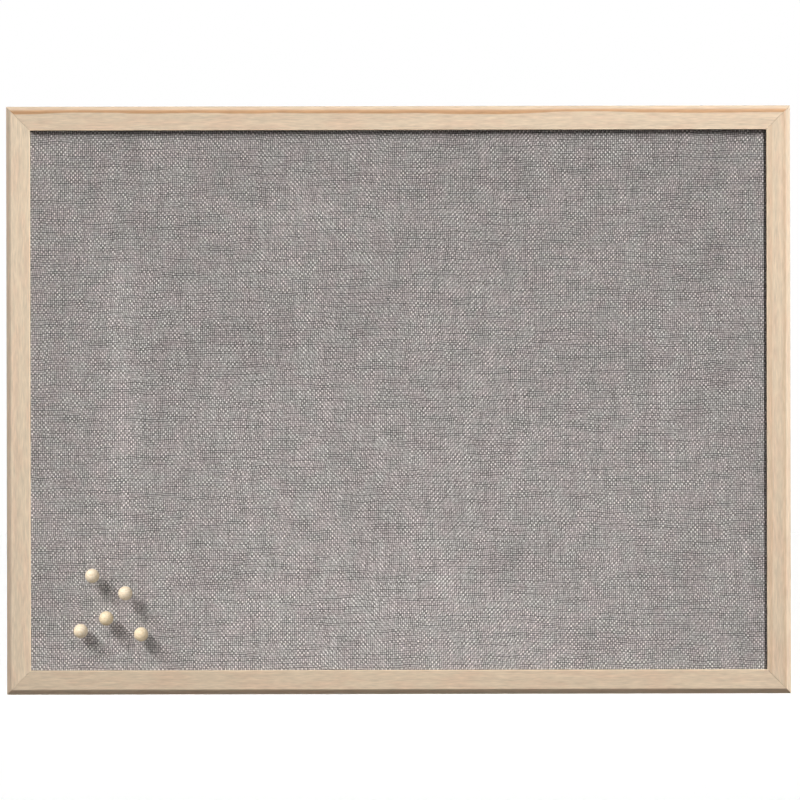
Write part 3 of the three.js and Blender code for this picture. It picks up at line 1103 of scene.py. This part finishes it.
class PINBOARD_OT_pin_needles(Step, bpy.types.Operator):
    """Draws the five steel needles"""

    bl_idname = "pin_board.pin_needles"
    bl_label = "Needles"

    def make(self, board):
        shine = board.pins.needle_steel
        steel = metal_material("needle_steel", shine, roughness=0.16, scratch_way=Y_AXIS)
        blank = drawn_needle(board.pins)
        for number in PIN_NUMBERS:
            node = f"pin_needle_{number}"
            place = on_axis(node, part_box(node)[0].y)
            needle = put(copy_of(blank, f"steel_needle_{number}"), place)
            finish(needle, steel, f"pin_{number}", node)
        discard(blank)


# Hangers


def hinge_place(side):
    """Where a hanger's ring turns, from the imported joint."""
    for joint in frame["joints"]:
        if joint["name"] == f"ring_{side}_swing":
            return Vector(joint["pos_m"])
    raise RuntimeError(f"no joint for the {side} ring")


def folded_strap(hangers):
    """A strap whose ring bar lies along X through the origin."""
    low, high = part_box("hanger_strap_left")
    bar = hinge_place("left")
    half = hangers.strap_thickness / 2
    inner_y = low.y + half - bar.y
    tail_z = low.z - bar.z
    outer_y = inner_y + hangers.strap_thickness + hangers.leg_gap
    bpy.ops.mesh.primitive_plane_add(
        size=1, location=(0, inner_y, tail_z / 2), rotation=(QUARTER, 0, 0)
    )
    bpy.context.active_object.scale = (high.x - low.x, -tail_z, 1)
    strap = settle("strap_blank")
    with editing(strap):
        choose(strap, "EDGE", lambda edge: edge_runs_along_x(edge) and near(edge_middle(edge).z, 0))
        bpy.ops.mesh.spin(steps=16, angle=math.pi, center=(0, 0, 0), axis=(-1, 0, 0))
        extrude_edges((0, outer_y + inner_y, -hangers.strap_fold))
        extrude_edges((0, 0, tail_z + hangers.strap_fold))
        choose(strap, "VERT", lambda vertex: near(vertex.co.z, tail_z))
        bpy.ops.mesh.bevel(offset=hangers.strap_corner, segments=5, affect="VERTICES")
        face_outwards()
    apply_modifier(strap, "SOLIDIFY", thickness=hangers.strap_thickness, offset=0)
    hole_radius = hangers.screw_shank / 2 + hangers.leg_gap
    through, edge_round = 9 * MM, 0.12 * MM
    hole = turned("strap_hole", [(-through, hole_radius), (through, hole_radius)])
    put(hole, (0, 0, on_axis("hanger_screw_left", 0)[Z_AXIS] - bar.z))
    carve(strap, hole)
    apply_modifier(strap, "BEVEL", width=edge_round, segments=2, limit_method="ANGLE")
    smooth(strap, degrees=35)
    return strap


def bent_ring(hangers):
    """A D-ring of round wire: bar along X through the origin, bow upwards, drawn flat."""
    half = half_width("hanger_ring_left") - hangers.wire / 2
    bow_z = hangers.ring_reach - half
    bpy.ops.mesh.primitive_circle_add(
        vertices=48, radius=half, location=(0, 0, bow_z), rotation=(QUARTER, 0, 0)
    )
    ring = settle("ring_blank")
    with editing(ring):
        choose(ring, "VERT", lambda vertex: vertex.co.z < bow_z - MERGE)
        bpy.ops.mesh.delete(type="VERT")
        choose(ring, "VERT", lambda vertex: near(vertex.co.z, bow_z))
        bpy.ops.mesh.extrude_vertices_move(TRANSFORM_OT_translate={"value": (0, 0, -bow_z)})
        bpy.ops.mesh.edge_face_add()
        bpy.ops.mesh.bevel(offset=hangers.ring_corner, segments=6, affect="VERTICES")
    activate(ring)
    bpy.ops.object.convert(target="CURVE")
    ring = bpy.context.active_object
    ring.data.bevel_depth = hangers.wire / 2
    ring.data.bevel_resolution = 4
    bpy.ops.object.convert(target="MESH")
    ring = bpy.context.active_object
    with editing(ring):
        bpy.ops.mesh.remove_doubles(threshold=MERGE)
        face_outwards()
    smooth(ring, degrees=50)
    return ring


def hanger_screw(hangers):
    """A round-head screw along Y with its underside at y = 0 and a cross recess in its head."""
    low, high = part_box("hanger_screw_left")
    head = half_width("hanger_screw_left")
    shank = hangers.screw_shank / 2
    shank_length = high.y - low.y - hangers.head_height
    edge, crown = 0.15 * MM, 0.1 * head
    stations = [
        (-shank_length, edge),
        (hangers.screw_taper - shank_length, shank),
        (0, shank),
        (0, head - edge),
        (edge, head),
        (hangers.head_rim, head),
    ]
    dome_steps = 6
    for step in range(1, dome_steps):
        climb = step / dome_steps * QUARTER
        rise = (hangers.head_height - hangers.head_rim) * math.sin(climb)
        stations.append((hangers.head_rim + rise, head * math.cos(climb)))
    stations.append((hangers.head_height, crown))
    screw = turned("screw_blank", stations)
    spans = ((hangers.cross_length, hangers.cross_width), (hangers.cross_width, hangers.cross_length))
    for across, up in spans:
        recess_low = Vector((-across / 2, hangers.head_height - hangers.cross_depth, -up / 2))
        recess_high = Vector((across / 2, hangers.head_height + OVERCUT, up / 2))
        carve(screw, new_block("cross_recess", recess_low, recess_high))
    smooth(screw, degrees=35)
    return screw


class PINBOARD_OT_hanger_straps(Step, bpy.types.Operator):
    """Folds the two hanger straps"""

    bl_idname = "pin_board.hanger_straps"
    bl_label = "Hanger straps"

    def make(self, board):
        hangers = board.hangers
        zinc = metal_material("zinc_strap", hangers.zinc, roughness=0.3, scratch_way=Z_AXIS)
        blank = folded_strap(hangers)
        for side in HANGER_SIDES:
            strap = put(copy_of(blank, f"zinc_strap_{side}"), hinge_place(side))
            finish(strap, zinc, "board", f"hanger_strap_{side}")
        discard(blank)


class PINBOARD_OT_hanger_rings(Step, bpy.types.Operator):
    """Bends the two D-rings"""

    bl_idname = "pin_board.hanger_rings"
    bl_label = "Hanger rings"

    def make(self, board):
        hangers = board.hangers
        zinc = metal_material("zinc_ring", hangers.zinc, roughness=0.24, scratch_way=Z_AXIS)
        blank = bent_ring(hangers)
        for side in HANGER_SIDES:
            bar = hinge_place(side)
            tip_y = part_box(f"hanger_ring_{side}")[0].y + hangers.wire / 2
            lean = math.asin((bar.y - tip_y) / hangers.ring_reach)
            ring = put(copy_of(blank, f"zinc_ring_{side}"), bar, (lean, 0, 0))
            finish(ring, zinc, f"ring_{side}", f"hanger_ring_{side}")
        discard(blank)


class PINBOARD_OT_hanger_screws(Step, bpy.types.Operator):
    """Turns the two hanger screws"""

    bl_idname = "pin_board.hanger_screws"
    bl_label = "Hanger screws"

    def make(self, board):
        hangers = board.hangers
        zinc = metal_material("zinc_screw", hangers.zinc, roughness=0.28, scratch_way=Y_AXIS)
        blank = hanger_screw(hangers)
        for side in HANGER_SIDES:
            node = f"hanger_screw_{side}"
            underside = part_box(node)[1].y - hangers.head_height
            screw = put(copy_of(blank, f"zinc_screw_{side}"), on_axis(node, underside))
            finish(screw, zinc, "board", node)
        discard(blank)


# Stage: floor, lamps, world and camera


def in_sight(recipe):
    """1 for rays that show a surface, straight, mirrored or through another, 0 for its light."""
    shown = 0
    for ray in ("Camera", "Glossy", "Transmission"):
        shown = recipe.larger(recipe.node("ShaderNodeLightPath", {}, {}, f"Is {ray} Ray"), shown)
    return shown


def floor_material(stage):
    """A pale floor that shows the board's shadow and sends little light back up to it."""
    recipe = Recipe(bpy.data.materials.new("floor"))
    shown = in_sight(recipe)
    ground = recipe.mix(shown, stage.floor_bounce, stage.floor_shade)
    matt = recipe.node("ShaderNodeBsdfDiffuse", {}, {"Color": ground})
    glow = recipe.node("ShaderNodeEmission", {}, {"Strength": shown * stage.floor_glow})
    floor = recipe.end(recipe.node("ShaderNodeAddShader", {}, {0: matt, 1: glow}))
    floor.cycles.emission_sampling = "NONE"
    return floor


def white_world(stage):
    """Even light, with plain white wherever the background itself is seen or mirrored."""
    recipe = Recipe(bpy.data.worlds.new("studio"))
    even = recipe.node("ShaderNodeBackground", {}, {"Color": WHITE, "Strength": stage.ambient})
    white = recipe.node("ShaderNodeBackground", {}, {"Color": WHITE})
    choice = recipe.node("ShaderNodeMixShader", {}, {0: in_sight(recipe), 1: even, 2: white})
    world = recipe.end(choice, "ShaderNodeOutputWorld")
    world.cycles.sampling_method = "NONE"
    bpy.context.scene.world = world


def group_of(name, pieces):
    """A collection that only says which pieces a lamp reaches or is stopped by."""
    group = bpy.data.collections.new(name)
    for piece in pieces:
        group.objects.link(piece)
    return group


def hang_lamp(name, kind, strength, place, towards, **settings):
    """A lamp that shines from a direction seen from the board, and isn't mirrored in it as a disc."""
    lamp = bpy.data.lights.new(name, kind)
    lamp.energy = strength
    lamp.cycles.use_multiple_importance_sampling = False
    for setting, value in settings.items():
        setattr(lamp, setting, value)
    hung = bpy.data.objects.new(name, lamp)
    hung.location = place
    hung.rotation_euler = towards.to_track_quat("Z", "Y").to_euler()
    hung.visible_camera = False
    bpy.context.scene.collection.objects.link(hung)
    return hung


def link_lamp(lamp, lit, shaded_by=None):
    """Lets a lamp reach only some pieces, and be stopped by all or only by some."""
    lamp.light_linking.receiver_collection = group_of(lamp.name + "_lit", lit)
    if shaded_by:
        lamp.light_linking.blocker_collection = group_of(lamp.name + "_shaded_by", shaded_by)


class PINBOARD_OT_stage(Step, bpy.types.Operator):
    """Sets the floor, the lamps, the world and the camera"""

    bl_idname = "pin_board.stage"
    bl_label = "Stage"

    def make(self, board):
        stage = board.stage
        scene = bpy.context.scene
        scene.view_settings.view_transform = "Standard"
        # With linked lamps the light tree leaves out a lamp on some pieces
        scene.cycles.use_light_tree = False
        white_world(stage)
        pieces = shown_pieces()
        floor = self.lay_floor(stage)
        flag = self.set_flag(stage)
        self.hang_lamps(stage, pieces, floor, flag)
        self.set_camera(scene, stage)

    def lay_floor(self, stage):
        """A floor that takes shadows but casts none, so that a lamp may hang below it."""
        bpy.ops.mesh.primitive_plane_add(size=stage.floor_size, location=(0, 0, BOTTOM_EDGE))
        floor = settle("studio_floor")
        floor.data.materials.append(floor_material(stage))
        floor.visible_shadow = False
        floor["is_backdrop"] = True
        return floor

    def set_flag(self, stage):
        """A card, seen only by the pins' lamps, that leaves the right rail's shadow on the cloth."""
        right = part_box("rail_right")[0].x
        front = CLOTH_LOW.y - stage.flag_height
        low = Vector((right - stage.flag_width, front, BOTTOM_EDGE + RAIL_FACE))
        high = Vector((right, front + FLAG_THICKNESS, TOP_EDGE - RAIL_FACE))
        flag = new_block("pin_lamp_flag", low, high)
        for ray in ("camera", "diffuse", "glossy", "transmission"):
            setattr(flag, "visible_" + ray, False)
        flag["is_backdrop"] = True
        return flag

    def hang_lamps(self, stage, pieces, floor, flag):
        """The frame and the cloth are lit from the right, the pins from the left."""

        def named(*starts):
            return [piece for piece in pieces if piece.name.startswith(starts)]

        cloth = named("woven_cloth")
        pins = named("ball_head", "steel_needle")
        rails = named("pine_rail")
        others = [piece for piece in pieces if piece not in cloth and piece not in pins]
        pin_blockers = pins + named("pine_rail_top") + [flag]

        from_right = (0.36, -0.71, 0.6)
        from_left_side, from_right_side = (-1, 0.05, 0.12), (1, 0.05, 0.12)
        from_below = (0, -0.7, -0.7)
        from_upper_left, grazing_upper_left = (-0.72, -1, 0.88), (-1.35, -1, 1.65)
        from_low_left = (-0.85, -0.45, -0.4)
        from_front = (0, -0.67, 0.65)
        from_behind = (-0.4, 0.7, 0.6)
        far_lamps = (
            ("side_key", from_left_side, stage.side_key, others, ()),
            ("side_key", from_right_side, stage.side_key, others, ()),
            ("frame_fill", from_below, stage.frame_fill, others + pins, ()),
            ("cloth_key", from_right, stage.cloth_key, cloth + pins, rails),
            ("pin_key", from_upper_left, stage.high_pin_key, cloth + pins, pin_blockers),
            ("pin_key", grazing_upper_left, stage.low_pin_key, cloth + pins, pin_blockers),
            ("pin_fill", from_low_left, stage.pin_fill, pins, ()),
            ("floor_key", from_front, stage.floor_key, [floor], ()),
            ("back_key", from_behind, stage.back_key, others, ()),
        )
        link_lamp(self.hang_frame_key(stage, Vector(from_right)), others)
        for name, towards, strength, lit, shaded_by in far_lamps:
            way = Vector(towards)
            place = way.normalized() * LAMP_DISTANCE
            spread = stage.pin_spread if name == "pin_key" else stage.key_spread
            link_lamp(hang_lamp(name, "SUN", strength, place, way, angle=spread), lit, shaded_by)
        link_lamp(self.hang_cloth_fill(stage), cloth + pins, [frame["nodes"]["back_panel"]])

    def hang_frame_key(self, stage, towards):
        """A round soft lamp near enough to light the frame's top right corner most."""
        middle = Vector((MIDDLE_X, FRONT, MIDDLE_Z))
        place = middle + towards.normalized() * stage.key_distance
        size = 2 * stage.key_distance * math.tan(stage.key_spread / 2)
        return hang_lamp(
            "frame_key", "AREA", stage.frame_key, place, towards, shape="DISK", size=size
        )

    def hang_cloth_fill(self, stage):
        """A wide lamp low before the board, which lights the foot of the cloth most."""
        width, height = 0.7 * BOARD_WIDTH, 0.2
        distance, lift = 0.45, 0.04
        place = (MIDDLE_X, FRONT - distance, BOTTOM_EDGE + lift)
        forward = Vector((0, -1, 0))
        return hang_lamp(
            "cloth_fill",
            "AREA",
            stage.cloth_fill,
            place,
            forward,
            shape="RECTANGLE",
            size=width,
            size_y=height,
        )

    def set_camera(self, scene, stage):
        lens = bpy.data.cameras.new("camera")
        lens.lens = stage.camera_lens
        camera = bpy.data.objects.new("camera", lens)
        camera.location = (MIDDLE_X + stage.camera_side, FRONT - stage.camera_distance, MIDDLE_Z)
        camera.rotation_euler = (QUARTER, stage.camera_roll, 0)
        scene.collection.objects.link(camera)
        scene.camera = camera


class PINBOARD_PT_sidebar(bpy.types.Panel):
    """Lists the steps that make the pin board"""

    bl_idname = "PINBOARD_PT_sidebar"
    bl_label = "Pin board"
    bl_space_type = "VIEW_3D"
    bl_region_type = "UI"
    bl_category = "Pin board"

    def draw(self, context):
        for step in STEPS:
            self.layout.operator(step.bl_idname)
        for group_name in PinBoardSettings.__annotations__:
            group = getattr(context.scene.pin_board, group_name)
            box = self.layout.box()
            box.label(text=group_name.title())
            for setting in type(group).__annotations__:
                box.prop(group, setting, text=setting.replace("_", " ").capitalize())


STEPS = (
    PINBOARD_OT_rails,
    PINBOARD_OT_panel,
    PINBOARD_OT_fixings,
    PINBOARD_OT_cloth,
    PINBOARD_OT_pin_heads,
    PINBOARD_OT_pin_needles,
    PINBOARD_OT_hanger_straps,
    PINBOARD_OT_hanger_rings,
    PINBOARD_OT_hanger_screws,
    PINBOARD_OT_stage,
)
CLASSES = (
    TimberSettings,
    ClothSettings,
    PinSettings,
    HangerSettings,
    PanelSettings,
    StageSettings,
    PinBoardSettings,
    *STEPS,
    PINBOARD_PT_sidebar,
)


def register():
    for made in CLASSES:
        bpy.utils.register_class(made)
    bpy.types.Scene.pin_board = bpy.props.PointerProperty(type=PinBoardSettings)


def unregister():
    del bpy.types.Scene.pin_board
    for made in reversed(CLASSES):
        bpy.utils.unregister_class(made)


def main():
    register()
    for step in STEPS:
        group, name = step.bl_idname.split(".")
        getattr(getattr(bpy.ops, group), name)()


if __name__ == "__main__":
    main()
